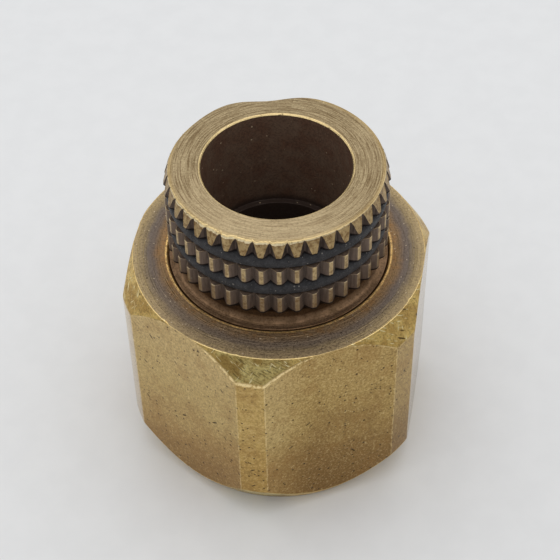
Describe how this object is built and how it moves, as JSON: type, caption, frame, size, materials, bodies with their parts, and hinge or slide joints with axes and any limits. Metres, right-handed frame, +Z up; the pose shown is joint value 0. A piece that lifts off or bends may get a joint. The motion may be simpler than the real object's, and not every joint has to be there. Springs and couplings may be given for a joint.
{
  "type": "pipe coupling",
  "caption": "Swivel pipe coupling: a hexagonal brass body with a female pipe thread below and a knurled, ring-sealed brass spigot that turns in its top.",
  "frame": {"origin": "centre of the bore on the bottom face of the hexagonal body, on which the part stands", "axes": "+Z up along the bore towards the spigot; a corner of the hexagon points along -Y and two of its flats face +X and -X"},
  "size_m": [0.027, 0.0298, 0.0322],
  "materials": {
    "body_brass": "worn machined brass, tarnished, finely scratched",
    "spigot_brass": "turned and knurled brass, brown tarnish in the gaps",
    "neck_rubber": "matte black rubber",
    "seal_rubber": "greased black rubber",
    "washer_ptfe": "off-white low-friction plastic",
    "spring_steel": "plain spring wire"
  },
  "bodies": {
    "body": {"hex_body": "body_brass", "bearing_washer": "washer_ptfe", "thrust_washer": "washer_ptfe"},
    "spigot": {"spigot": "spigot_brass", "upper_neck_ring": "neck_rubber", "lower_neck_ring": "neck_rubber", "upper_swivel_seal": "seal_rubber", "lower_swivel_seal": "seal_rubber", "retaining_ring": "spring_steel"}
  },
  "joints": [
    {"name": "spigot_swivel", "type": "hinge", "parent": "body", "child": "spigot", "pos_m": [0, 0, 0.0205], "axis": [0, 0, 1], "continuous": true}
  ]
}
